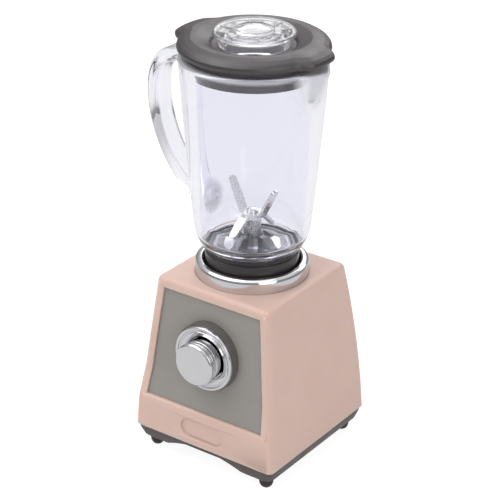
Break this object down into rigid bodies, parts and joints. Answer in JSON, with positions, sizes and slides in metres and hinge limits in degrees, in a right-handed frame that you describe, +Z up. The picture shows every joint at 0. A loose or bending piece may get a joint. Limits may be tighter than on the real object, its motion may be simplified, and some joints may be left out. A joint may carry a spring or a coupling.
{
  "type": "toy blender",
  "caption": "Miniature jug blender: press-button base with a motor and drive dog, lift-off clear jar with handle, spout and blades, dark lid and clear cap.",
  "frame": {"origin": "on the table, directly under the axis of the jar and of the drive", "axes": "+Z up along the jar's axis, -Y the front with the button, -X the handle, +X the spout"},
  "size_m": [0.0458, 0.0406, 0.0991],
  "materials": {
    "housing": "satin moulded, pale pink",
    "panel": "satin grey",
    "plating": "bright plating on plastic",
    "base": "satin dark grey-brown",
    "feet": "matt",
    "steel": "turned",
    "cell": "bright can",
    "brass": "plain",
    "natural": "unpainted moulding",
    "board": "laminate",
    "black": "satin black",
    "seal": "matt",
    "clear": "clear moulding",
    "silver": "dull silver",
    "lid": "satin dark brown-grey"
  },
  "bodies": {
    "base": {"body_shell": "housing", "front_panel": "panel", "button_bezel": "plating", "collar_ring": "plating", "base_plate": "base", "battery_door": "base", "door_screw": "steel", "base_screws": "steel", "foot_front_left": "feet", "foot_front_right": "feet", "foot_back_left": "feet", "foot_back_right": "feet", "cell_left": "cell", "cell_middle": "cell", "cell_right": "cell", "contact_plus": "brass", "contact_minus": "brass", "motor": "cell", "motor_bracket": "natural", "bracket_screws": "steel", "switch_board": "board", "board_screws": "steel", "switch_leaf": "brass", "switch_rivet": "brass"},
    "button": {"button": "plating"},
    "drive": {"motor_shaft": "steel", "drive_dog": "black"},
    "jar": {"jar": "clear", "jar_collar": "black", "jar_gasket": "seal", "blade_seat": "silver", "shaft_bush": "brass"},
    "blades": {"blade_shaft": "steel", "blade_post": "silver", "lower_blades": "silver", "upper_blades": "silver", "blade_nut": "silver", "driven_dog": "black"},
    "lid": {"lid": "lid"},
    "cap": {"cap": "clear"}
  },
  "joints": [
    {"name": "button_press", "type": "slide", "parent": "base", "child": "button", "axis": [0, 1, 0], "range_m": [0, 0.001], "stiffness_N_per_m": 400, "springref_m": -0.001, "deforming": ["switch_leaf"]},
    {"name": "motor_spin", "type": "hinge", "parent": "base", "child": "drive", "pos_m": [0, 0, 0.036], "axis": [0, 0, 1], "continuous": true},
    {"name": "jar_lift", "type": "slide", "parent": "base", "child": "jar", "axis": [0, 0, 1], "range_m": [0, 0.02]},
    {"name": "blade_spin", "type": "hinge", "parent": "jar", "child": "blades", "pos_m": [0, 0, 0.047], "axis": [0, 0, 1], "continuous": true},
    {"name": "lid_lift", "type": "slide", "parent": "jar", "child": "lid", "axis": [0, 0, 1], "range_m": [0, 0.012]},
    {"name": "cap_lift", "type": "slide", "parent": "lid", "child": "cap", "axis": [0, 0, 1], "range_m": [0, 0.01]}
  ],
  "couplings": [
    {"joint": "blade_spin", "follows": "motor_spin", "ratio": 1}
  ]
}
